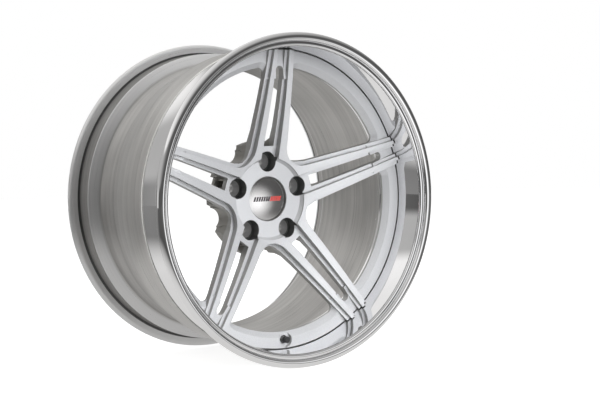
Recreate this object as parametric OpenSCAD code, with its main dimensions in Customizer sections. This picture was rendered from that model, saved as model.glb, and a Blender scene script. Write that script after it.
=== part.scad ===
// Three-piece forged racing wheel: 19 x 11 inch rim, five split spokes, 5 x 120.65 mm bolt circle.
// Millimetres. The axle is Y, the outer face looks along -Y, Z is up, and the origin is the centre
// of the mounting face. Lateral sizes of the spokes are half widths measured from the spoke's own
// centre line, so every spoke is symmetrical.

/* [Rim] */
// Overall radius of both flanges
flange_r = 261; // [255:0.5:270]
// Bead seat radius next to the flange
seat_r = 243.7; // [240:0.1:246]
// Outermost point of the outer flange
front_y = -142.7; // [-150:0.1:-135]
// Innermost point of the inner flange
rear_y = 162.7; // [155:0.1:170]
// Radius of the polished lip where it meets the centre
lip_r = 239; // [237:0.1:241]
// Radius of the drop centre
well_r = 225; // [220:0.5:230]
// Wall thickness of the inner barrel
wall = 4.8; // [4:0.1:6]

/* [Centre] */
// Outer radius of the centre's ring
ring_r = 237.4; // [236:0.1:238]
// Radius of the windows' outer edge
window_r = 212.2; // [208:0.1:216]
// Face of the ring at its outer edge
ring_y = -79.3; // [-84:0.1:-76]
// Thickness of the ring
ring_t = 14; // [12:0.5:16]
// Face of the hub pad
pad_y = -37.4; // [-42:0.1:-32]
// Radius of the flat hub pad
pad_r = 62.6; // [60:0.1:66]
// Radius of the mounting face
back_r = 88; // [84:0.5:92]
// Radius of the scallops in the mounting disc between the spokes
scallop_r = 17.5; // [10:0.5:18]

/* [Spokes] */
// Number of split spokes
spokes = 5; // [5:1:5]
// Slope of the rib face next to the hub
face_slope = 0.35; // [0.3:0.01:0.4]
// Half width of a spoke over its two ledges, at the root
ledge_out = 34.7; // [32:0.1:37]
// Half width of the slot between the two half spokes
ledge_in = 9.9; // [8:0.1:11]
// Half width over the two raised ribs
rib_out = 28.5; // [27:0.1:30]
// Half width of the channel between the ribs
rib_in = 16; // [15:0.1:18]
// Height of the ribs above the ledges at the root
rib_h = 10.5; // [8:0.1:12]

/* [Lug holes] */
// Bolt circle diameter
pcd = 120.65; // [114.3:0.01:130]
// Radius of the through holes for the studs
stud_r = 7.5; // [6.5:0.1:8]
// Radius of the socket clearance bore
socket_r = 16.2; // [14:0.1:17]
// Radius of the hub bore
hub_r = 35.15; // [33:0.05:38]

/* [Rim hardware] */
// Number of bolts that hold the three pieces together
bolts = 30; // [20:2:36]
// Radius of their circle
bolt_circle_r = 224.5; // [223:0.1:226]
// Nominal radius of a bolt's thread
bolt_r = 4; // [3:0.5:4]

/* [Centre cap] */
// Radius of the cap's bore
cap_bore_r = 36.1; // [35.5:0.1:38]
// Height of the dome
dome_h = 3.2; // [2:0.1:5]

/* [Valve] */
// Distance of the valve stem from the axle
valve_r = 224.5; // [223:0.1:226]
// Radius of the stem's threads
stem_r = 4.1; // [3.9:0.1:4.3]

/* [Hidden] */

pitch = 360 / spokes;
half_pitch = pitch / 2;
lug_r = pcd / 2;

// Centre cap: dome, badge, and the ring that holds it in its bore.
cap_top = pad_y + 0.6;
cap_edge_r = 34.4;
cap_body_r = cap_bore_r - 0.35;
cap_foot = -14.2;
badge_r = 31;
badge_y = cap_top + 3.1;
o_ring_r = 1.05;
o_ring_center = cap_bore_r - 0.05 - o_ring_r;
o_ring_y = -20;

// The centre's ring, the two bolt flanges behind it and the bolts' washers.
ring_back = ring_y + ring_t;
lip_flange_t = 5;
barrel_flange_t = 5;
washer_t = 1.6;
lip_flange_back = ring_back + lip_flange_t;
barrel_flange_back = lip_flange_back + barrel_flange_t;
flange_hole_r = window_r + 1;
chamfer = 8.6;
ring_fall = 1.3;
bolt_hole_r = bolt_r + 0.4;
insert_r = bolt_r + 1.5;
insert_h = 9.5;

// Rims of the two flanges, and the walls that carry them.
front_roll_r = 7;
rear_roll_r = 6.5;
front_tyre_y = front_y + 2 * front_roll_r;
rear_tyre_y = rear_y - 2 * rear_roll_r;
flange_wall = 7.3;
corner_fillet = 5;
seat_fillet = 3.5;

// Outer surface behind the bead seats, and the groove that takes the sealant.
joint_r = 243;
groove = 2.5;

// Face and back of the spokes.
face_r = 68.5;
face_y0 = -45.5;
face_curve = 0.00048;
root_r = 91.4;
spoke_end = 250;
ledge_out_s = 0.075;
ledge_in_s = 0.024;
rib_out_s = 0.077;
rib_in_s = 0.032;
rib_fall = 0.034;
lobe_r = 94;
ledge_corner_r = 28.4;
rib_corner_r = 32.3;
corner_r = 9;
slot_start = 85.5;
slot_end = 205.2;

// Valve: pocket in the ring, stem along Y, elbow, and base through the barrel's wall.
valve_hole_r = 6.6;
valve_pocket_r = 12;
pocket_floor = ring_y + 7;
stem_tip = pocket_floor - 9.5;
stem_body_r = 4.8;
elbow_y = -42;
base_hole_r = 5.9;
outer_spot = joint_r - 0.3;
inner_spot = joint_r - wall + 0.1;
washer_h = 1.2;
nut_h = 5;

// Valve core inside the stem.
core_bore_r = 2.4;
core_top = stem_tip + 1;
core_end = core_top + 12;
cavity_end = core_end - 3.4;
collar_y = core_top + 0.6;
collar_h = 0.8;

// Clearance of parts that are pressed or screwed together.
fit_gap = 0.03;

// Height of the ribs' face and of the ledges at radius r.
function face_y(r) =
    face_y0 - face_slope * (r - face_r) + face_curve * pow(r - face_r, 2);
function ledge_y(r) = face_y(r) + rib_h - rib_fall * (r - root_r);

// Half width of an edge at distance u from the axle.
function half_w(v, s, u) = v - s * (u - root_r);

// Centre of the round that joins the near edges of two neighbouring spokes.
function corner_dist(v, s, r) =
    half_w(v, s, 0) / (sin(half_pitch) + s * cos(half_pitch)) + r / sin(half_pitch + atan(s));

// Turns a profile of radius and Y into a solid around the axle.
module turned(angle = 360, start = 0) {
    rotate([-90, 0, 0])
        rotate_extrude(angle = angle, start = start, $fn = 240)
            children();
}

// Turns a small profile around the axle, or around the valve's own axis.
module spun() {
    rotate([-90, 0, 0])
        rotate_extrude($fn = 96)
            children();
}

module valve_spun() {
    translate([0, 0, -valve_r])
        spun()
            children();
}

// Extrudes a flat shape outwards through the rim at the valve, from radius r0 to r1.
module radial(y, r0, r1) {
    translate([0, y, -r1])
        linear_extrude(r1 - r0)
            children();
}

// Extrudes a front view, X to the right and Z up, from y0 to y1.
module slab(y0, y1) {
    rotate([90, 0, 0])
        translate([0, 0, -y1])
            linear_extrude(y1 - y0)
                children();
}

// Cylinder along Y at a place in the front view.
module pin(x, z, y0, y1, r, r_end = -1) {
    translate([x, y0, z])
        rotate([-90, 0, 0])
            cylinder(h = y1 - y0, r1 = r, r2 = r_end < 0 ? r : r_end, $fn = 72);
}

module around(n, first = 0) {
    for (i = [0 : n - 1])
        rotate([0, -(first + i * 360 / n), 0])
            children();
}

// Strip along +Z of the front view with tapering half width.
module strip(v, s, u0, u1) {
    polygon([[-half_w(v, s, u0), u0], [half_w(v, s, u0), u0],
        [half_w(v, s, u1), u1], [-half_w(v, s, u1), u1]]);
}

module each_spoke() {
    for (i = [0 : spokes - 1])
        rotate(i * pitch)
            children();
}

// Web that rounds the corner between two spokes near the hub.
module corner_web(v, s, r) {
    c = corner_dist(v, s, r);
    a = half_pitch + atan(s);
    rotate(half_pitch)
        difference() {
            polygon([[0, 0], [(r + 2) * cos(a), c - (r + 2) * sin(a)],
                [-(r + 2) * cos(a), c - (r + 2) * sin(a)]]);
            translate([0, c])
                circle(r = r + 0.08, $fn = 120);
        }
}

// Front view of the five spokes over their ledges, with the slots open to the rim.
module ledge_plan() {
    intersection() {
        circle(r = ring_r, $fn = 240);
        difference() {
            union() {
                each_spoke()
                    strip(ledge_out, ledge_out_s, 0, spoke_end);
                each_spoke()
                    corner_web(ledge_out, ledge_out_s, ledge_corner_r);
            }
            each_spoke()
                strip(ledge_in, ledge_in_s, slot_start, spoke_end);
        }
    }
}

// Front view of the raised ribs and of the ground they share around the pad.
module rib_plan() {
    intersection() {
        circle(r = ring_r, $fn = 240);
        difference() {
            union() {
                each_spoke()
                    strip(rib_out, rib_out_s, 0, spoke_end);
                each_spoke()
                    corner_web(rib_out, rib_out_s, rib_corner_r);
            }
            each_spoke()
                strip(rib_in, rib_in_s, lug_r, spoke_end);
        }
    }
}

// Points of the spoke's face, from the hub to the rim.
face_steps = 9;
function station(i) = face_r - 2 + i * (ring_r + 2 - face_r) / face_steps;
face_points = [for (i = [0 : face_steps]) [station(i), face_y(station(i))]];
ledge_points = [for (i = [0 : face_steps]) [station(i), ledge_y(station(i))]];

module ledges() {
    intersection() {
        slab(-120, 10)
            ledge_plan();
        turned()
            polygon(concat(ledge_points, [[ring_r + 1, ring_back], [205, ring_back], [196, -64.3],
                [157, -52.9], [117, -39], [99, -30], [lobe_r, -18], [lobe_r, 0],
                [face_r - 2, 0]]));
    }
}

module ribs() {
    intersection() {
        slab(-120, 10)
            rib_plan();
        turned()
            polygon(concat(face_points, [[ring_r + 1, ring_back - 2], [196, -66], [117, -44],
                [face_r - 2, -34]]));
    }
}

// Outline of the hub: flat pad, the cone that rises to the spokes, and the mounting disc.
module hub() {
    turned()
        polygon([[hub_r - 2, pad_y], [pad_r, pad_y], [face_r, face_y(face_r)],
            [face_r + 0.6, face_y(face_r) + 3], [face_r + 0.6, -36], [80, -36], [back_r, -9],
            [back_r, 0], [hub_r - 2, 0]]);
}

// Centre of a window's outer corner round, seen from the window's own middle line.
side_a = half_pitch + atan(ledge_out_s);
side_gap = half_w(ledge_out, ledge_out_s, 0) * cos(atan(ledge_out_s)) + corner_r;
corner_ring = window_r - corner_r;
corner_along = sqrt(pow(corner_ring, 2) - pow(side_gap, 2));
corner_x = corner_along * sin(side_a) - side_gap * cos(side_a);
corner_z = corner_along * cos(side_a) + side_gap * sin(side_a);
corner_angle = atan2(corner_x, corner_z);

// Front view of one window, with its middle line along +Z.
module window() {
    foot = [corner_x + corner_r * cos(side_a), corner_z - corner_r * sin(side_a)];
    low = foot - 60 * [sin(side_a), cos(side_a)];
    top = window_r * [sin(corner_angle), cos(corner_angle)];
    polygon([low, foot, top, [-top.x, top.y], [-foot.x, foot.y], [-low.x, low.y]]);
    intersection() {
        circle(r = window_r, $fn = 240);
        polygon([[0, 0], 2 * top, [-2 * top.x, 2 * top.y]]);
    }
    for (s = [-1, 1])
        translate([s * corner_x, corner_z])
            circle(r = corner_r, $fn = 72);
}

module slot() {
    strip(ledge_in, ledge_in_s, slot_start, slot_end);
    translate([0, slot_end])
        circle(r = half_w(ledge_in, ledge_in_s, slot_end), $fn = 48);
}

// Ring that carries the spoke ends, with a broad chamfer round the outer edge of every window.
module ring() {
    top = ring_y + ring_fall;
    difference() {
        turned()
            polygon([[192, ring_back], [192, top], [window_r + chamfer + 0.8, top],
                [ring_r, ring_y], [ring_r, ring_back]]);
        slab(-120, 10)
            each_spoke()
                rotate(half_pitch)
                    window();
        slab(-120, 10)
            each_spoke()
                slot();
        around(spokes, 90 + half_pitch)
            turned(angle = 2 * corner_angle + 0.3, start = -corner_angle - 0.15)
                polygon([[window_r - 1, top + chamfer + 1], [window_r + chamfer + 2, top - 2],
                    [window_r - 1, top - 2]]);
        around(spokes, 90 + half_pitch)
            for (s = [-1, 1])
                pin(corner_z, s * corner_x, top - 2, top + chamfer + 1,
                    corner_r + chamfer + 1.95, corner_r - 1.05);
    }
}

module lug_holes() {
    seat_y = -20;
    seat_r1 = 13;
    seat_h = (seat_r1 - stud_r) / tan(30);
    around(spokes, 90) {
        pin(lug_r, 0, -90, seat_y, socket_r);
        pin(lug_r, 0, seat_y - 0.01, seat_y + seat_h, seat_r1, stud_r);
        pin(lug_r, 0, seat_y, 1, stud_r);
    }
}

// Holds its children at each bolt, with the valve midway between two of them.
module bolt_places() {
    around(bolts, 90 + 180 / bolts)
        translate([bolt_circle_r, 0, 0])
            children();
}

module wheel_center() {
    color([0.68, 0.69, 0.72])
        difference() {
            union() {
                ledges();
                ribs();
                hub();
                ring();
            }
            lug_holes();
            pin(0, 0, -60, -14, cap_bore_r);
            pin(0, 0, pad_y - 1, pad_y + 0.8, cap_bore_r + 1.8, cap_bore_r);
            pin(0, 0, -20, 1, hub_r);
            pin(0, 0, -2, 0.01, hub_r, hub_r + 2);
            around(spokes, 90 + half_pitch)
                pin(back_r + 6, 0, -40, 1, scallop_r);
            around(spokes, 90)
                pin(slot_start - 1, 0, -30, -8, 6);
            bolt_places()
                pin(0, 0, ring_back - insert_h - 1.2, ring_back + 1, insert_r + fit_gap);
            pin(0, -valve_r, ring_y - 5, pocket_floor, valve_pocket_r);
            pin(0, -valve_r, ring_y - 5, ring_back + 1, valve_hole_r);
        }
}

// Points of an arc around c, as radius and Y.
function arc(c, r, from, to, n) =
    [for (i = [0 : n]) c + r * [cos(from + (to - from) * i / n), sin(from + (to - from) * i / n)]];

// Profile of the outer rim half, from the underside of its rolled edge round to the lip.
module lip_profile() {
    roll = [flange_r - front_roll_r, front_y + front_roll_r];
    wall_y = front_tyre_y - flange_wall;
    under = asin((roll.y - wall_y) / front_roll_r);
    edge = lip_r + 0.4;
    polygon(concat(
        arc(roll, front_roll_r, 180 + under, 450, 30),
        arc([seat_r + seat_fillet, front_tyre_y + seat_fillet], seat_fillet, 270, 180, 5),
        [[seat_r - 1.4, front_tyre_y + 16.7], [seat_r + 0.2, front_tyre_y + 22.7],
            [joint_r, front_tyre_y + 29], [joint_r, lip_flange_back - groove],
            [joint_r - groove, lip_flange_back], [flange_hole_r, lip_flange_back],
            [flange_hole_r, ring_back], [ring_r + fit_gap, ring_back],
            [ring_r + fit_gap, ring_y + 7], [lip_r - 0.4, ring_y + 7], [lip_r - 0.4, ring_y]],
        arc([edge + corner_fillet, wall_y + corner_fillet], corner_fillet, 180, 270, 8)));
}

module outer_lip() {
    color([0.86, 0.87, 0.88])
        difference() {
            turned()
                lip_profile();
            bolt_places()
                pin(0, 0, ring_back - 1, lip_flange_back + 1, bolt_hole_r);
            pin(0, -valve_r, ring_back - 1, lip_flange_back + 1, valve_hole_r);
        }
}

// Profile of the inner rim half, from its bolt flange along the tyre side and back inside.
module barrel_profile() {
    roll = [flange_r - rear_roll_r, rear_y - rear_roll_r];
    wall_y = rear_tyre_y + flange_wall - 0.1;
    under = asin((wall_y - roll.y) / rear_roll_r);
    bead_in = seat_r - wall + 0.2;
    polygon(concat(
        [[flange_hole_r, lip_flange_back], [joint_r - groove, lip_flange_back],
            [joint_r, lip_flange_back + groove], [joint_r, -30], [joint_r - 2, 1.5],
            [well_r, 68], [well_r, 110], [seat_r + 0.2, 119], [seat_r - 0.4, 122],
            [seat_r - 1.75, 129.5]],
        arc([seat_r + seat_fillet, rear_tyre_y - seat_fillet], seat_fillet, 180, 90, 5),
        arc(roll, rear_roll_r, 270, 540 - under, 28),
        arc([bead_in + corner_fillet, wall_y - corner_fillet], corner_fillet, 90, 180, 8),
        [[seat_r - 1.75 - wall, 129.5], [seat_r - wall, 122], [well_r - wall, 113],
            [well_r - wall, 67], [joint_r - 2 - wall, 0.5], [joint_r - wall, -30],
            [joint_r - wall, barrel_flange_back], [flange_hole_r, barrel_flange_back]]));
}

module inner_barrel() {
    color([0.6, 0.59, 0.57])
        difference() {
            turned()
                barrel_profile();
            bolt_places()
                pin(0, 0, lip_flange_back - 1, barrel_flange_back + 1, bolt_hole_r);
            pin(0, -valve_r, lip_flange_back - 1, barrel_flange_back + 1, valve_hole_r);
            radial(elbow_y, inner_spot - 5, outer_spot + 5)
                circle(r = base_hole_r, $fn = 72);
            radial(elbow_y, inner_spot - 5, inner_spot)
                circle(r = 9, $fn = 72);
            radial(elbow_y, outer_spot, outer_spot + 5)
                circle(r = 9.5, $fn = 72);
        }
}

// Bead of sealant in the groove between the two rim halves.
module joint_sealant() {
    color([0.82, 0.82, 0.8])
        turned()
            polygon([[joint_r - groove + 0.1, lip_flange_back],
                [joint_r, lip_flange_back - groove + 0.1],
                [joint_r + 0.9, lip_flange_back - 1.6],
                [joint_r + 0.9, lip_flange_back + 1.6],
                [joint_r, lip_flange_back + groove - 0.1]]);
}

// Shank, collar and twelve-point head, put in from behind.
module rim_bolt() {
    seat = barrel_flange_back + washer_t;
    pin(0, 0, ring_back - insert_h + 0.5, seat + 1, bolt_r - fit_gap);
    pin(0, 0, seat, seat + 1.6, 6.6);
    difference() {
        for (turn = [0, 30])
            rotate([0, turn, 0])
                translate([0, seat + 1, 0])
                    rotate([-90, 0, 0])
                        cylinder(h = 7, r = 5.6, $fn = 6);
        pin(0, 0, seat + 6.6, seat + 9, 2.6);
    }
}

module rim_bolts() {
    color([0.72, 0.72, 0.74])
        bolt_places()
            rim_bolt();
}

module bolt_washers() {
    color([0.62, 0.62, 0.64])
        bolt_places()
            difference() {
                pin(0, 0, barrel_flange_back, barrel_flange_back + washer_t, 7.6);
                pin(0, 0, barrel_flange_back - 1, barrel_flange_back + washer_t + 1,
                    bolt_hole_r);
            }
}

// Threaded steel sleeves in the blind holes of the ring.
module thread_inserts() {
    color([0.5, 0.5, 0.52])
        bolt_places()
            spun()
                polygon([[bolt_r, ring_back - insert_h], [insert_r - 0.4, ring_back - insert_h],
                    [insert_r, ring_back - insert_h + 0.4], [insert_r, ring_back - 1.6],
                    [insert_r - 0.4, ring_back - 1.2], [insert_r, ring_back - 0.8],
                    [insert_r, ring_back - 0.1], [bolt_r + 0.4, ring_back - 0.1],
                    [bolt_r, ring_back - 0.5]]);
}

// Everything under the cap's domed surface, out to radius r.
module under_dome(r, back) {
    dome_r = (pow(cap_edge_r, 2) + pow(dome_h, 2)) / (2 * dome_h);
    intersection() {
        translate([0, cap_top + dome_r])
            circle(r = dome_r, $fn = 720);
        translate([0, cap_top - 1])
            square([r, back - cap_top + 1]);
    }
}

// Push-in centre cap: domed face with a recess for the badge, skirt and groove for the ring.
module cap_body() {
    rim_y = cap_top + dome_h;
    color([0.8, 0.8, 0.81])
        spun()
            difference() {
                union() {
                    under_dome(cap_edge_r, rim_y + 3);
                    polygon([[0, rim_y], [cap_edge_r, rim_y], [cap_body_r, rim_y + 1.4],
                        [cap_body_r, cap_foot], [0, cap_foot]]);
                }
                translate([0, badge_y - 10])
                    square([badge_r + 0.1, 10]);
                translate([0, rim_y + 1.8])
                    square([cap_body_r - 4, 30]);
                translate([o_ring_center - o_ring_r - 0.05, o_ring_y - o_ring_r - 0.1])
                    square([10, 2 * o_ring_r + 0.2]);
            }
}

module cap_badge() {
    color([0.32, 0.34, 0.38])
        spun()
            intersection() {
                under_dome(badge_r, badge_y);
                translate([0, badge_y - 10])
                    square([badge_r, 10]);
            }
}

module cap_o_ring() {
    color([0.08, 0.08, 0.09])
        spun()
            translate([o_ring_center, o_ring_y])
                circle(r = o_ring_r, $fn = 36);
}

// Bent stem: threaded end in the ring's pocket, elbow, and a base with its head outside.
module valve_stem() {
    color([0.75, 0.75, 0.76])
        difference() {
            union() {
                valve_spun()
                    polygon([[0, stem_tip], [stem_r - 0.5, stem_tip], [stem_r, stem_tip + 0.5],
                        [stem_r, pocket_floor - 0.5], [stem_body_r, pocket_floor + 0.2],
                        [stem_body_r, elbow_y], [0, elbow_y]]);
                translate([0, elbow_y, -valve_r])
                    sphere(r = stem_body_r + 0.8, $fn = 72);
                radial(elbow_y, valve_r, outer_spot + 3)
                    circle(r = stem_r, $fn = 72);
                radial(elbow_y, outer_spot + 1.8, outer_spot + 4.2)
                    circle(r = 8.5, $fn = 72);
            }
            pin(0, -valve_r, stem_tip - 1, core_end + 6, core_bore_r);
            pin(0, -valve_r, core_end + 5, elbow_y + 1.5, 1.5);
            radial(elbow_y, valve_r - 1.6, outer_spot + 5)
                circle(r = 1.8, $fn = 72);
        }
}

// Rubber sleeve and flange that seal the stem's base in the barrel's wall.
module valve_grommet() {
    color([0.09, 0.09, 0.1])
        difference() {
            union() {
                radial(elbow_y, inner_spot + 0.4, outer_spot + 1)
                    circle(r = base_hole_r - 0.05, $fn = 72);
                radial(elbow_y, outer_spot + 0.05, outer_spot + 1.75)
                    circle(r = 9, $fn = 72);
            }
            radial(elbow_y, inner_spot - 1, outer_spot + 3)
                circle(r = stem_r + 0.05, $fn = 72);
        }
}

module valve_washer() {
    color([0.7, 0.7, 0.71])
        radial(elbow_y, inner_spot - washer_h, inner_spot)
            difference() {
                circle(r = 8, $fn = 72);
                circle(r = stem_r + 0.2, $fn = 72);
            }
}

module valve_nut() {
    color([0.72, 0.6, 0.33])
        radial(elbow_y, inner_spot - washer_h - nut_h, inner_spot - washer_h)
            difference() {
                circle(r = 6.9, $fn = 6);
                circle(r = stem_r + fit_gap, $fn = 72);
            }
}

// Brass body of the core, with the spring's chamber and a groove for its gasket.
module core_body() {
    color([0.74, 0.6, 0.3])
        valve_spun()
            polygon([[1.5, core_top], [2.2, core_top], [2.2, core_top + 6.8],
                [1.95, core_top + 6.8], [1.95, core_top + 9.2], [2.2, core_top + 9.2],
                [2.2, core_end - 0.6], [1.6, core_end], [0.85, core_end], [0.85, cavity_end],
                [1.5, cavity_end]]);
}

module core_gasket() {
    color([0.85, 0.2, 0.15])
        valve_spun()
            polygon([[1.98, core_top + 6.9], [2.3, core_top + 6.9], [2.37, core_top + 7.5],
                [2.37, core_top + 8.5], [2.3, core_top + 9.1], [1.98, core_top + 9.1]]);
}

// Pin with the collar that the spring pushes on.
module core_pin() {
    color([0.78, 0.66, 0.4])
        valve_spun()
            polygon([[0, stem_tip + 0.1], [0.5, stem_tip + 0.1], [0.5, collar_y],
                [1.15, collar_y], [1.15, collar_y + collar_h], [0.5, collar_y + collar_h],
                [0.5, core_end + 2.8], [0, core_end + 2.8]]);
}

// Cup on the pin's end that closes the core.
module core_cup() {
    color([0.12, 0.12, 0.13])
        valve_spun()
            polygon([[0.5, core_end + 0.05], [1.5, core_end + 0.05], [1.7, core_end + 0.5],
                [1.7, core_end + 1.9], [0.5, core_end + 2.2]]);
}

module core_spring() {
    turns = 6;
    steps = 14;
    y0 = collar_y + collar_h + 0.2;
    rise = (cavity_end - 0.25 - y0) / (turns * steps);
    color([0.7, 0.7, 0.72])
        for (i = [0 : turns * steps - 1])
            hull()
                for (j = [i, i + 1])
                    translate([0, y0 + j * rise, -valve_r])
                        rotate([0, j * 360 / steps, 0])
                            translate([0.95, 0, 0])
                                sphere(r = 0.18, $fn = 6);
}

// Screwed cap with a fluted grip.
module valve_cap() {
    top = stem_tip - 2.6;
    foot = stem_tip + 6;
    color([0.13, 0.13, 0.14])
        difference() {
            valve_spun()
                polygon([[0, top], [4.3, top], [5.3, top + 1], [5.3, foot - 0.4],
                    [4.9, foot], [stem_r + 0.06, foot], [stem_r + 0.06, stem_tip - 1.2],
                    [0, stem_tip - 1.2]]);
            translate([0, 0, -valve_r])
                around(18)
                    pin(5.55, 0, top - 1, foot + 1, 0.5);
        }
}

module valve_cap_seal() {
    color([0.25, 0.25, 0.26])
        pin(0, -valve_r, stem_tip - 1.15, stem_tip - 0.05, 3.8);
}

wheel_center();
outer_lip();
inner_barrel();
joint_sealant();
rim_bolts();
bolt_washers();
thread_inserts();
cap_body();
cap_badge();
cap_o_ring();
valve_stem();
valve_grommet();
valve_washer();
valve_nut();
core_body();
core_gasket();
core_pin();
core_cup();
core_spring();
valve_cap();
valve_cap_seal();
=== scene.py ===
"""Looks of the three-piece wheel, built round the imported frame. Metres; the axle is Y and Z is up."""
import math

import bpy
from mathutils import Matrix, Vector


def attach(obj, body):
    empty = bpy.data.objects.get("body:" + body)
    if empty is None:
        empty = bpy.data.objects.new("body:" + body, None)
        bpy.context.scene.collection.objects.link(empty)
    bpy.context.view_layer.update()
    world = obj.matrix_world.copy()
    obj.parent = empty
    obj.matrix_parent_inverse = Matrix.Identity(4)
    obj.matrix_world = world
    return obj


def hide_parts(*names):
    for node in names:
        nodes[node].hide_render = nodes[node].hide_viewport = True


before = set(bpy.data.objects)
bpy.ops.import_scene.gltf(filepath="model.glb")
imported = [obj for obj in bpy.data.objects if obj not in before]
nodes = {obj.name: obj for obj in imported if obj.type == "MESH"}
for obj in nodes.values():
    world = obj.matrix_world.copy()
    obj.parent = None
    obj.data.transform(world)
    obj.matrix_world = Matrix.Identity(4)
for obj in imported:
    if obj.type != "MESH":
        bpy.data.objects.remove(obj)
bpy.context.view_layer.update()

# ---------------------------------------------------------------- sizes shared with the CAD, in metres
WHEEL_R = 0.261
FLANGE_R = WHEEL_R - 0.0001
SEAT_R = 0.24365
JOINT_R = 0.2430
FLANGE_HOLE_R = 0.2132
RING_BACK = -0.0653
LIP_BACK = -0.0603
BARREL_BACK = -0.0553
FRONT_ROLL_R = 0.007
REAR_ROLL_R = 0.0065
SEAT_FILLET = 0.0035
CORNER_FILLET = 0.005
GROOVE = 0.0025
SPOKES = 5
LUG_R = 0.060325
SOCKET_R = 0.0162
BOLTS = 30
BOLT_CIRCLE_R = 0.2245
BOLT_HOLE_R = 0.0044
VALVE_HOLE_R = 0.0066

# ---------------------------------------------------------------- how finely the visual meshes are made
LATHE_STEPS = 480
HOLE_SIDES = 40
SHARP = math.radians(24)
OVERSHOOT = 0.001


# ---------------------------------------------------------------- shader helpers
class Nodes:
    """A node tree with short names for the nodes that it needs."""

    def __init__(self, tree):
        self.tree = tree
        self.tree.nodes.clear()

    def add(self, kind, **settings):
        made = self.tree.nodes.new(kind)
        for key, value in settings.items():
            setattr(made, key, value)
        return made

    def join(self, a, b):
        self.tree.links.new(a, b)

    def feed(self, socket, value):
        """Give a socket a number, a colour or another node's output."""
        if isinstance(value, (int, float)):
            socket.default_value = value
        elif isinstance(value, tuple):
            socket.default_value = (*value, 1.0)
        else:
            self.join(value, socket)

    def math(self, operation, *values):
        made = self.add("ShaderNodeMath", operation=operation)
        for socket, value in zip(made.inputs, values):
            self.feed(socket, value)
        return made.outputs[0]

    def plus(self, a, b):
        return self.math("ADD", a, b)

    def minus(self, a, b):
        return self.math("SUBTRACT", a, b)

    def times(self, a, b):
        return self.math("MULTIPLY", a, b)

    def length(self, a, b):
        return self.math("SQRT", self.plus(self.times(a, a), self.times(b, b)))

    def ramp(self, value, low, high, to_low, to_high, smooth=True):
        made = self.add("ShaderNodeMapRange", clamp=True)
        made.interpolation_type = "SMOOTHSTEP" if smooth else "LINEAR"
        self.join(value, made.inputs["Value"])
        for key, number in zip(("From Min", "From Max", "To Min", "To Max"), (low, high, to_low, to_high)):
            made.inputs[key].default_value = number
        return made.outputs["Result"]

    def mix(self, share, first, second):
        made = self.add("ShaderNodeMix", data_type="RGBA")
        for socket, value in zip((made.inputs[0], made.inputs[6], made.inputs[7]), (share, first, second)):
            self.feed(socket, value)
        return made.outputs[2]

    def noise(self, vector, scale, detail=2.0, roughness=0.5):
        made = self.add("ShaderNodeTexNoise")
        self.join(vector, made.inputs["Vector"])
        made.inputs["Scale"].default_value = scale
        made.inputs["Detail"].default_value = detail
        made.inputs["Roughness"].default_value = roughness
        return made.outputs["Fac"]

    def split(self, vector):
        made = self.add("ShaderNodeSeparateXYZ")
        self.join(vector, made.inputs[0])
        return made.outputs

    def vector(self, x, y, z):
        made = self.add("ShaderNodeCombineXYZ")
        for socket, value in zip(made.inputs, (x, y, z)):
            self.feed(socket, value)
        return made.outputs[0]


class Shader(Nodes):
    """A material with one Principled shader, laid out in the wheel's own coordinates."""

    def __init__(self, name):
        self.material = bpy.data.materials.new(name)
        self.material.use_nodes = True
        super().__init__(self.material.node_tree)
        out = self.add("ShaderNodeOutputMaterial")
        self.bsdf = self.add("ShaderNodeBsdfPrincipled")
        self.join(self.bsdf.outputs["BSDF"], out.inputs["Surface"])
        self.place = self.add("ShaderNodeTexCoord").outputs["Object"]

    def turned(self, along, round_it=1.0):
        """Coordinates of a lathe's marks: fine across the cut, long round the axis."""
        x, y, z = self.split(self.place)
        radius = self.length(x, z)
        # the sine and cosine of the angle run round without a seam
        safe_radius = self.math("MAXIMUM", radius, 1e-5)
        cos = self.math("DIVIDE", x, safe_radius)
        sin = self.math("DIVIDE", z, safe_radius)
        across = self.times(self.plus(radius, self.times(y, 0.83)), along)
        return self.vector(across, self.times(cos, round_it), self.times(sin, round_it))

    def bump(self, height, distance, strength=1.0, round_edges=0.0):
        made = self.add("ShaderNodeBump")
        made.inputs["Strength"].default_value = strength
        made.inputs["Distance"].default_value = distance
        self.join(height, made.inputs["Height"])
        if round_edges:
            edge = self.add("ShaderNodeBevel", samples=4)
            edge.inputs["Radius"].default_value = round_edges
            self.join(edge.outputs[0], made.inputs["Normal"])
        self.join(made.outputs[0], self.bsdf.inputs["Normal"])

    def set(self, **values):
        """Set the shader's sockets, named with _ for each space."""
        for key, value in values.items():
            self.feed(self.bsdf.inputs[key.replace("_", " ")], value)


# ---------------------------------------------------------------- finishes
def painted_seat_highlight_and_shade(s, base):
    """Painted highlight: a lighter hump and rear roll. Painted shade: a dark ring in the flange's root."""
    x, y, z = s.split(s.place)
    # painted highlight: the hump and the rear roll get a lighter base colour
    hump = s.times(s.ramp(y, 0.1095, 0.1125, 0.0, 1.0), s.ramp(y, 0.1195, 0.1220, 1.0, 0.0))
    painted_highlight = s.math("MAXIMUM", hump, s.ramp(y, 0.1492, 0.1496, 0.0, 1.0))
    base = s.mix(s.times(painted_highlight, 0.6), base, (0.92, 0.925, 0.94))
    # painted shade: a near-black ring where the flange meets the bead seat
    painted_root_shade = s.times(s.ramp(y, 0.1462, 0.1480, 0.0, 1.0), s.ramp(s.length(x, z), 0.2468, 0.2476, 1.0, 0.0))
    painted_root_shade = s.times(painted_root_shade, s.ramp(y, 0.1497, 0.1499, 1.0, 0.0))
    return s.mix(painted_root_shade, base, (0.07, 0.07, 0.07))


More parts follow.
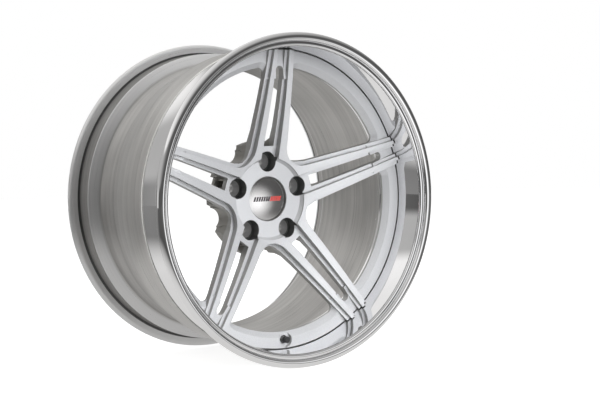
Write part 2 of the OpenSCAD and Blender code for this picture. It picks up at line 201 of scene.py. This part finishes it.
def brushed(name, low, high, rough, lines=2600.0, depth=0.00002, round_edges=0.0, metallic=1.0,
            bead_seat=False):
    """Turned or spun metal: fine rings round the axis in colour, gloss and height."""
    s = Shader(name)
    fine = s.noise(s.turned(lines, 1.5), 1.0, 3.0, 0.6)
    broad = s.noise(s.turned(lines / 14, 0.8), 1.0, 2.0)
    cloud = s.noise(s.place, 9.0, 3.0)
    tone = s.plus(s.times(fine, 0.45), s.plus(s.times(broad, 0.3), s.times(cloud, 0.25)))
    base = s.mix(s.ramp(tone, 0.3, 0.7, 0.0, 1.0), low, high)
    # painted highlight on the hump and rear roll, painted shade in the flange's root
    if bead_seat:
        base = painted_seat_highlight_and_shade(s, base)
    s.set(Base_Color=base, Metallic=metallic)
    s.set(Roughness=s.ramp(fine, 0.25, 0.75, rough - 0.05, rough + 0.07))
    s.bump(fine, depth, 1.0, round_edges)
    return s


def plain_metal(name, low, high, rough, round_edges=0.0003):
    """Small machined parts, with an even grain."""
    s = Shader(name)
    grain = s.noise(s.place, 900.0, 4.0, 0.6)
    cloud = s.noise(s.place, 30.0, 3.0)
    s.set(Base_Color=s.mix(s.times(s.plus(grain, cloud), 0.5), low, high), Metallic=1.0)
    s.set(Roughness=s.ramp(grain, 0.3, 0.7, rough - 0.06, rough + 0.08))
    s.bump(grain, 0.00001, 0.6, round_edges)
    return s


def lug_distance(s, x, z, radius):
    """Distance from the nearest lug's axis, from the angle folded into one spoke's share."""
    share = 2 * math.pi / SPOKES
    angle = s.math("ARCTAN2", z, x)
    folded = s.minus(s.math("WRAP", s.plus(angle, share / 4), share, 0.0), share / 2)
    reach = s.times(s.times(radius, 2 * LUG_R), s.math("COSINE", folded))
    square = s.minus(s.plus(s.times(radius, radius), LUG_R**2), reach)
    return s.math("SQRT", s.math("MAXIMUM", square, 0.0))


def centre_paint():
    """Silver powder coat over machined metal, darker inside the lug sockets."""
    s = Shader("centre_silver")
    silver = (0.53, 0.54, 0.56)
    x, y, z = s.split(s.place)
    radius = s.length(x, z)
    flakes = s.noise(s.place, 4200.0, 2.0, 0.7)
    speck = s.noise(s.place, 1100.0, 2.0, 0.7)
    orange_peel = s.noise(s.place, 420.0, 2.0)
    cloud = s.noise(s.place, 14.0, 3.0)
    base = s.mix(s.ramp(flakes, 0.3, 0.7, 0.0, 1.0), silver, (0.70, 0.71, 0.735))
    base = s.mix(s.ramp(cloud, 0.35, 0.65, 0.0, 0.25), base, silver)
    base = s.mix(s.ramp(speck, 0.35, 0.7, 0.0, 0.35), base, (0.80, 0.81, 0.83))
    # painted shade: the flanks that face sideways and the walls deep behind the face get a darker, warmer
    # base colour
    normal = s.split(s.add("ShaderNodeTexCoord").outputs["Normal"])
    flank_shade = s.ramp(s.math("ABSOLUTE", normal[1]), 0.25, 0.8, 1.0, 0.0)
    # painted shade behind the face, stronger near the hub
    recess_shade = s.times(s.ramp(y, -0.0355, -0.027, 0.0, 1.0), s.ramp(radius, 0.07, 0.20, 1.0, 0.35))
    walls = s.math("MAXIMUM", s.times(flank_shade, 0.65), recess_shade)
    base = s.mix(walls, base, (0.27, 0.262, 0.24))
    # the lug sockets are darker, with rings round the bore, and lighter at the seat at the bottom
    apart = lug_distance(s, x, z, radius)
    inside = s.ramp(apart, SOCKET_R + 0.0001, SOCKET_R + 0.00025, 1.0, 0.0)
    inside = s.times(inside, s.ramp(y, -0.0435, -0.039, 0.7, 1.0))
    rings = s.noise(s.vector(0.0, s.times(y, 900.0), s.times(apart, 900.0)), 1.0, 2.0)
    bore = s.mix(rings, (0.07, 0.072, 0.07), (0.20, 0.205, 0.20))
    seat = s.times(s.ramp(apart, 0.0131, 0.0129, 0.0, 1.0), s.ramp(y, -0.0203, -0.0200, 0.0, 1.0))
    bore = s.mix(seat, bore, (0.5, 0.5, 0.5))
    s.set(Base_Color=s.mix(inside, base, bore))
    s.set(Metallic=s.ramp(inside, 0.0, 1.0, 0.5, 0.8), Roughness=s.ramp(flakes, 0.25, 0.75, 0.34, 0.46))
    s.set(Coat_Weight=0.14, Coat_Roughness=0.16)
    s.bump(s.plus(s.times(orange_peel, 0.7), s.times(flakes, 0.3)), 0.00004, 0.5, 0.0009)
    return s


def rubber(name, low, high, rough=0.62):
    s = Shader(name)
    grain = s.noise(s.place, 2600.0, 3.0, 0.7)
    s.set(Base_Color=s.mix(grain, low, high), Roughness=s.ramp(grain, 0.3, 0.7, rough - 0.1, rough + 0.1))
    s.bump(grain, 0.00003, 0.7)
    return s


def polished(name, tone=(0.93, 0.93, 0.94), rough=0.035, lines=1500.0):
    """Mirror polish with the faint rings that the polishing leaves."""
    s = Shader(name)
    fine = s.noise(s.turned(lines, 1.2), 1.0, 3.0, 0.6)
    smear = s.noise(s.place, 16.0, 3.0)
    dimmer = tuple(v * 0.96 for v in tone)
    s.set(Base_Color=s.mix(s.ramp(smear, 0.3, 0.7, 0.0, 1.0), dimmer, tone), Metallic=1.0)
    haze = s.plus(s.times(fine, 0.6), s.times(smear, 0.4))
    s.set(Roughness=s.ramp(haze, 0.3, 0.7, rough * 0.6, rough * 1.7))
    s.bump(fine, 0.0000015, 0.6)
    return s


def badge_finish():
    """Domed inlay in the cap's own polish, with a slanted two-tone bar broken into short strokes."""
    s = Shader("cap_badge_finish")
    stroke_pitch, half_height, half_length = 0.0044, 0.0036, 0.0262
    x, _, z = s.split(s.place)
    fine = s.noise(s.turned(2400.0, 1.2), 1.0, 3.0, 0.6)
    speck = s.noise(s.place, 1500.0, 2.0)
    leaning = s.minus(x, s.times(z, 0.35))
    across = s.ramp(s.math("ABSOLUTE", z), half_height, half_height + 0.0003, 1.0, 0.0)
    along = s.ramp(s.math("ABSOLUTE", leaning), half_length, half_length + 0.0004, 1.0, 0.0)
    from_middle = s.minus(s.math("WRAP", leaning, stroke_pitch, 0.0), stroke_pitch / 2)
    stroke = s.ramp(s.math("ABSOLUTE", from_middle), 0.0015, 0.0017, 1.0, 0.0)
    bar = s.times(s.times(across, along), stroke)
    right = s.ramp(leaning, 0.0043, 0.0045, 0.0, 1.0)
    dark = s.mix(speck, (0.025, 0.02, 0.022), (0.05, 0.045, 0.05))
    red = s.mix(speck, (0.42, 0.035, 0.03), (0.55, 0.06, 0.05))
    metal = s.mix(s.ramp(fine, 0.3, 0.7, 0.0, 1.0), (0.80, 0.79, 0.79), (0.88, 0.87, 0.87))
    s.set(Base_Color=s.mix(bar, metal, s.mix(right, dark, red)), Metallic=s.ramp(bar, 0.0, 1.0, 1.0, 0.0))
    s.set(Roughness=s.ramp(bar, 0.0, 1.0, 0.17, 0.35))
    s.bump(s.minus(s.times(fine, 0.1), bar), 0.00005, 0.5)
    return s


def paint(obj, *shaders):
    obj.data.materials.clear()
    for shader in shaders:
        obj.data.materials.append(shader.material)


# ---------------------------------------------------------------- mesh helpers
def arc(centre, radius, start, end, steps):
    """Points of an arc as (radius, y), angles in degrees from the outward direction towards +Y."""
    points = []
    for i in range(steps + 1):
        a = math.radians(start + (end - start) * i / steps)
        points.append((centre[0] + radius * math.cos(a), centre[1] + radius * math.sin(a)))
    return points


def put(name, mesh):
    made = bpy.data.objects.new(name, mesh)
    bpy.context.scene.collection.objects.link(made)
    return made


def lathe(name, profile, material_of):
    """Closed profile of (radius, y) turned about the axle, with a material for each stretch."""
    verts, faces, slots = [], [], []
    count = len(profile)
    for i in range(LATHE_STEPS):
        a = 2 * math.pi * i / LATHE_STEPS
        verts += [(r * math.cos(a), y, r * math.sin(a)) for r, y in profile]
    for i in range(LATHE_STEPS):
        base, after = i * count, (i + 1) % LATHE_STEPS * count
        for j in range(count):
            k = (j + 1) % count
            faces.append((base + j, base + k, after + k, after + j))
            slots.append(material_of(profile[j], profile[k]))
    mesh = bpy.data.meshes.new(name)
    mesh.from_pydata(verts, [], faces)
    mesh.polygons.foreach_set("material_index", slots)
    mesh.polygons.foreach_set("use_smooth", [True] * len(faces))
    mesh.update()
    mesh.set_sharp_from_angle(angle=SHARP)
    return put(name, mesh)


def flange_hole(x, z, radius):
    """A hole through both bolt flanges, as (start, end, radius)."""
    return (x, RING_BACK - OVERSHOOT, z), (x, BARREL_BACK + OVERSHOOT, z), radius


def drill(obj, holes):
    """Take round holes out of a piece, each as (start, end, radius)."""
    verts, faces = [], []
    for start, end, radius in holes:
        start, end = Vector(start), Vector(end)
        turn = (end - start).to_track_quat("Z", "Y")
        first = len(verts)
        last = first + HOLE_SIDES
        for point in (start, end):
            for i in range(HOLE_SIDES):
                a = 2 * math.pi * i / HOLE_SIDES
                verts.append(point + turn @ Vector((radius * math.cos(a), radius * math.sin(a), 0.0)))
        for i in range(HOLE_SIDES):
            j = (i + 1) % HOLE_SIDES
            faces.append((first + i, first + j, last + j, last + i))
        faces.append(tuple(first + i for i in reversed(range(HOLE_SIDES))))
        faces.append(tuple(last + i for i in range(HOLE_SIDES)))
    mesh = bpy.data.meshes.new("drill")
    mesh.from_pydata(verts, [], faces)
    cutter = put("drill", mesh)
    cut = obj.modifiers.new("drill", "BOOLEAN")
    cut.object = cutter
    cut.operation = "DIFFERENCE"
    cut.solver = "EXACT"
    bpy.context.view_layer.update()
    done = bpy.data.meshes.new_from_object(obj.evaluated_get(bpy.context.evaluated_depsgraph_get()))
    obj.modifiers.clear()
    obj.data = done
    bpy.data.objects.remove(cutter)
    done.set_sharp_from_angle(angle=SHARP)


# ---------------------------------------------------------------- outer rim half
FRONT_ROLL = (FLANGE_R - FRONT_ROLL_R, -0.1357)
LIP_EDGE = 0.2394
STEP_R = 0.23745
MOUTH_R = 0.2386
lip_profile = (
    arc(FRONT_ROLL, FRONT_ROLL_R, 182.5, 450, 48)
    + arc((SEAT_R + SEAT_FILLET, -0.1252), SEAT_FILLET, 270, 180, 10)
    # the front bead's hump, then the joint's outside
    + [(0.2423, -0.1121), (0.2426, -0.1105), (0.2437, -0.1070), (0.2438, -0.1060), (0.2437, -0.1050)]
    + [(0.2431, -0.1008), (JOINT_R, -0.0997)]
    # the groove's chamfer, the bolt flange and the step in front of the ring
    + [(JOINT_R, LIP_BACK - GROOVE), (JOINT_R - GROOVE, LIP_BACK)]
    + [(FLANGE_HOLE_R, LIP_BACK), (FLANGE_HOLE_R, RING_BACK)]
    + [(STEP_R, RING_BACK), (STEP_R, -0.0723), (MOUTH_R, -0.0723), (MOUTH_R, -0.0793)]
    + arc((LIP_EDGE + CORNER_FILLET, -0.1310), CORNER_FILLET, 180, 270, 16)
)


def lip_slot(a, b):
    """0 where the half is mirror polished, 1 where the lathe's marks are left on the tyre's side."""
    r, y = (a[0] + b[0]) / 2, (a[1] + b[1]) / 2
    return 1 if r > 0.2420 and -0.1120 < y < -0.0600 else 0


bolt_holes = []
for i in range(BOLTS):
    angle = math.radians(90 + 360 / BOLTS * (i + 0.5))
    bolt_holes.append(
        flange_hole(BOLT_CIRCLE_R * math.cos(angle), BOLT_CIRCLE_R * math.sin(angle), BOLT_HOLE_R)
    )
valve_hole = flange_hole(0.0, -BOLT_CIRCLE_R, VALVE_HOLE_R)

outer_lip = lathe("outer_lip_turned", lip_profile, lip_slot)
drill(outer_lip, bolt_holes + [valve_hole])
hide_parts("outer_lip")
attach(outer_lip, "rim")

# ---------------------------------------------------------------- inner rim half
BACK_ROLL = (FLANGE_R - REAR_ROLL_R, 0.1561)
barrel_profile = (
    # the bolt flange's front, the joint and the slope down to the drop centre
    [(FLANGE_HOLE_R, LIP_BACK), (JOINT_R - GROOVE, LIP_BACK), (JOINT_R, LIP_BACK + GROOVE), (JOINT_R, -0.030)]
    + [(0.2412, -0.0005), (0.2409, 0.0022), (0.2252, 0.0665), (0.2249, 0.0690)]
    # the slope up, the rear bead's hump and its seat
    + [(0.2249, 0.1085), (0.2256, 0.1102), (0.2422, 0.1183), (0.2434, 0.1191), (0.2438, 0.1202)]
    + [(0.2434, 0.1220), (0.24195, 0.1295)]
    + arc((SEAT_R + SEAT_FILLET, 0.1462), SEAT_FILLET, 180, 90, 10)
    + arc(BACK_ROLL, REAR_ROLL_R, 270, 533.8, 44)
    # back along the inside
    + arc((0.2441, 0.1518), CORNER_FILLET, 90, 180, 14)
    + [(0.2372, 0.1295), (0.2390, 0.1222), (0.2383, 0.1212), (0.2210, 0.1134), (0.2203, 0.1120)]
    + [(0.2203, 0.0680), (0.2206, 0.0655), (0.2360, 0.0016), (0.2364, -0.0010), (0.2382, -0.030)]
    + [(0.2382, BARREL_BACK), (FLANGE_HOLE_R, BARREL_BACK)]
)


def barrel_slot(a, b):
    """0 outside, on the tyre's side, 1 inside, where the metal is duller."""
    r, y = (a[0] + b[0]) / 2, (a[1] + b[1]) / 2
    outside = 0.2437 if y > 0.118 else (0.2231 if y > 0.06 else 0.2396)
    return 0 if r > outside - 0.0012 or y > 0.1500 else 1


inner_barrel = lathe("inner_barrel_turned", barrel_profile, barrel_slot)
drill(inner_barrel, bolt_holes)
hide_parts("inner_barrel")
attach(inner_barrel, "rim")

# ---------------------------------------------------------------- which piece has which finish
mirror = polished("lip_mirror")
lip_marks = brushed("lip_tyre_side", (0.50, 0.49, 0.48), (0.66, 0.65, 0.63), 0.30)
spun = brushed(
    "barrel_spun", (0.38, 0.375, 0.365), (0.60, 0.59, 0.575), 0.32,
    lines=2200.0, depth=0.00003, metallic=0.7, bead_seat=True,
)
dull = brushed(
    "barrel_inside", (0.42, 0.405, 0.375), (0.54, 0.52, 0.485), 0.44,
    lines=1300.0, depth=0.00004, metallic=0.65,
)
paint(outer_lip, mirror, lip_marks)
paint(inner_barrel, spun, dull)

steel = brushed("zinc_steel", (0.50, 0.50, 0.51), (0.68, 0.68, 0.69), 0.30, lines=5200.0, round_edges=0.0003)
dark_steel = plain_metal("insert_steel", (0.26, 0.26, 0.27), (0.38, 0.38, 0.39), 0.36)
turned_brass = plain_metal("turned_brass", (0.50, 0.37, 0.14), (0.66, 0.50, 0.22), 0.30, round_edges=0.0001)
valve_bright = plain_metal("valve_bright", (0.58, 0.58, 0.60), (0.74, 0.74, 0.75), 0.22, round_edges=0.0002)
black_rubber = rubber("black_rubber", (0.012, 0.012, 0.013), (0.03, 0.03, 0.032))
black_plastic = rubber("black_plastic", (0.016, 0.016, 0.017), (0.034, 0.034, 0.036), 0.45)
bead = rubber("sealant", (0.56, 0.56, 0.54), (0.72, 0.72, 0.70), 0.35)
red_seal = rubber("red_seal", (0.42, 0.04, 0.03), (0.6, 0.07, 0.05), 0.5)
cap_metal = polished("cap_polish", (0.86, 0.855, 0.855), 0.10, 2400.0)

paint(nodes["wheel_center"], centre_paint())
for name, shader in {
    "joint_sealant": bead, "rim_bolts": steel, "bolt_washers": steel, "thread_inserts": dark_steel,
    "cap_body": cap_metal, "cap_badge": badge_finish(), "cap_o_ring": black_rubber,
    "valve_stem": valve_bright, "valve_grommet": black_rubber, "valve_washer": steel,
    "valve_nut": turned_brass, "core_body": turned_brass, "core_gasket": red_seal,
    "core_pin": turned_brass, "core_cup": black_rubber, "core_spring": dark_steel,
    "valve_cap": black_plastic, "valve_cap_seal": black_rubber,
}.items():
    paint(nodes[name], shader)


# ---------------------------------------------------------------- floor and cards
FLOOR_R = 6.0
FLOOR_Z = -0.2625
GLOW_Z = FLOOR_Z - 0.0002
HUB_CARD_R = 0.3


def disc(name, radius, low, segments=96):
    """Round level sheet of the studio, low metres above the axle."""
    angles = [2 * math.pi * i / segments for i in range(segments)]
    verts = [(0.0, 0.0, low)] + [(radius * math.cos(a), radius * math.sin(a), low) for a in angles]
    mesh = bpy.data.meshes.new(name)
    mesh.from_pydata(verts, [], [(0, i + 1, (i + 1) % segments + 1) for i in range(segments)])
    made = put(name, mesh)
    return made


def floor_finish():
    s = Shader("floor_card")
    s.set(Base_Color=s.mix(s.noise(s.place, 3.0), (0.40, 0.40, 0.40), (0.42, 0.42, 0.42)), Roughness=0.8)
    s.set(Emission_Color=(1.0, 1.0, 1.0), Emission_Strength=0.84)
    return s


def floor_glow():
    """What the polish sees of the floor: bright under the wheel, dim further off."""
    s = Shader("floor_glow")
    x, y, _ = s.split(s.place)
    rightward = s.minus(s.times(x, 0.94), s.times(y, 0.34))
    strength = s.plus(s.ramp(s.length(x, y), 0.4, 1.0, 0.6, 0.0), s.ramp(rightward, -0.2, 1.6, 0.07, 0.11))
    strength = s.plus(strength, s.ramp(y, -0.2, 0.9, 0.0, 0.13))
    s.set(Base_Color=(0.0, 0.0, 0.0), Roughness=1.0)
    s.set(Emission_Color=(1.0, 0.99, 0.975), Emission_Strength=strength)
    return s


def hub_card_glow():
    s = Shader("hub_card_glow")
    x, y, _ = s.split(s.place)
    s.set(Base_Color=(0.0, 0.0, 0.0), Roughness=1.0, Emission_Color=(1.0, 1.0, 1.0), Emission_Strength=1.35)
    s.set(Alpha=s.ramp(s.length(x, y), 0.05, HUB_CARD_R, 1.0, 0.0, smooth=False))
    return s


def only_in_polish(obj):
    obj.visible_camera = False
    obj.visible_diffuse = False
    obj.visible_shadow = False


floor = disc("studio_floor", FLOOR_R, FLOOR_Z)
paint(floor, floor_finish())
floor.visible_glossy = False
floor.visible_diffuse = False

glow = disc("floor_in_polish", FLOOR_R, GLOW_Z)
paint(glow, floor_glow())
only_in_polish(glow)

# a small soft card close in front of the hub
hub_card = disc("hub_card", HUB_CARD_R, 0.0, 48)
hub_card.scale = (0.8, 0.6, 1.0)
hub_card.location = (0.16, -0.5, -0.06)
hub_card.rotation_euler = (math.radians(90), 0.0, math.radians(7))
paint(hub_card, hub_card_glow())
only_in_polish(hub_card)


# ---------------------------------------------------------------- studio walls and lights
def studio_world():
    """White to the camera. To the wheel, a bright wall behind on the left over a dim horizon."""
    world = bpy.data.worlds.new("studio")
    bpy.context.scene.world = world
    world.use_nodes = True
    w = Nodes(world.node_tree)
    east, north, height = w.split(w.add("ShaderNodeTexCoord").outputs["Generated"])
    level_length = w.math("MAXIMUM", w.length(east, north), 0.05)

    def facing(x, y):
        """How far a direction looks towards a compass point, from -1 to 1."""
        return w.math("DIVIDE", w.plus(w.times(east, x), w.times(north, y)), level_length)

    wall = w.ramp(facing(-0.643, 0.766), -0.85, 0.8, 0.2, 0.95)
    zenith = w.ramp(height, 0.45, 1.0, 0.0, 0.75)
    wall = w.plus(w.times(wall, w.minus(1.0, zenith)), w.times(zenith, 0.62))
    wall = w.times(wall, w.ramp(height, 0.40, 0.50, 0.48, 1.0))
    left_window = w.ramp(facing(-0.985, 0.174), 0.85, 0.97, 0.09, 0.6)
    back_window = w.ramp(facing(0.2, 0.98), 0.5, 0.95, 0.0, 0.25)
    horizon = w.plus(left_window, back_window)
    above = w.ramp(height, 0.07, 0.16, 0.0, 1.0)
    level = w.plus(w.times(wall, above), w.times(horizon, w.minus(1.0, above)))

    seen = w.add("ShaderNodeBackground")
    w.feed(seen.inputs["Color"], (1.0, 1.0, 1.0))
    w.feed(seen.inputs["Strength"], 1.0)
    lit = w.add("ShaderNodeBackground")
    w.feed(lit.inputs["Color"], (1.0, 0.99, 0.975))
    w.feed(lit.inputs["Strength"], level)
    both = w.add("ShaderNodeMixShader")
    w.join(w.add("ShaderNodeLightPath").outputs["Is Camera Ray"], both.inputs[0])
    w.join(lit.outputs[0], both.inputs[1])
    w.join(seen.outputs[0], both.inputs[2])
    w.join(both.outputs[0], w.add("ShaderNodeOutputWorld").inputs["Surface"])


def soft_light(name, place, aim, width, height, power):
    """Rectangular lamp that the polish doesn't see."""
    data = bpy.data.lights.new(name, "AREA")
    data.shape = "RECTANGLE"
    data.size = width
    data.size_y = height
    data.energy = power
    made = put(name, data)
    made.location = place
    made.rotation_euler = (Vector(aim) - Vector(place)).to_track_quat("-Z", "Y").to_euler()
    made.visible_glossy = False


studio_world()
soft_light("key", (0.7, -2.5, 0.8), (0, 0, 0), 1.4, 1.2, 70)
soft_light("top", (0.0, -0.5, 2.4), (0, 0, 0), 2.2, 1.6, 35)
soft_light("bounce", (-0.05, -0.95, -0.08), (-0.03, -0.08, -0.2), 0.6, 0.2, 5.0)
soft_light("back", (-0.7, 2.2, -0.3), (0, 0, 0), 1.8, 1.4, 70)
soft_light("left", (-2.2, 0.9, -0.5), (0, 0.05, 0), 1.8, 1.4, 15)

# ---------------------------------------------------------------- camera
AZIMUTH = math.radians(-35.44)
ELEVATION = math.radians(2.93)
TILT = math.radians(-1.222)
DISTANCE = 7.633 * WHEEL_R
SHIFT_RIGHT = -0.0165 * WHEEL_R
SHIFT_UP = 0.0006 * WHEEL_R
AIM = Vector((0.0, -0.1335, 0.0))
SENSOR_MM = 36.0
LENS_MM = 76.758


def place_camera():
    back = Vector((
        math.sin(AZIMUTH) * math.cos(ELEVATION),
        -math.cos(AZIMUTH) * math.cos(ELEVATION),
        math.sin(ELEVATION),
    ))
    level = Vector((math.cos(AZIMUTH), math.sin(AZIMUTH), 0.0))
    upright = back.cross(level)
    right = level * math.cos(TILT) + upright * math.sin(TILT)
    up = upright * math.cos(TILT) - level * math.sin(TILT)
    lens = bpy.data.cameras.new("camera")
    lens.sensor_width = SENSOR_MM
    lens.lens = LENS_MM
    camera = put("camera", lens)
    turn = Matrix((right, up, back)).transposed().to_4x4()
    place = AIM + back * DISTANCE + right * SHIFT_RIGHT + up * SHIFT_UP
    camera.matrix_world = Matrix.Translation(place) @ turn
    bpy.context.scene.camera = camera


place_camera()
bpy.context.scene.view_settings.view_transform = "Standard"
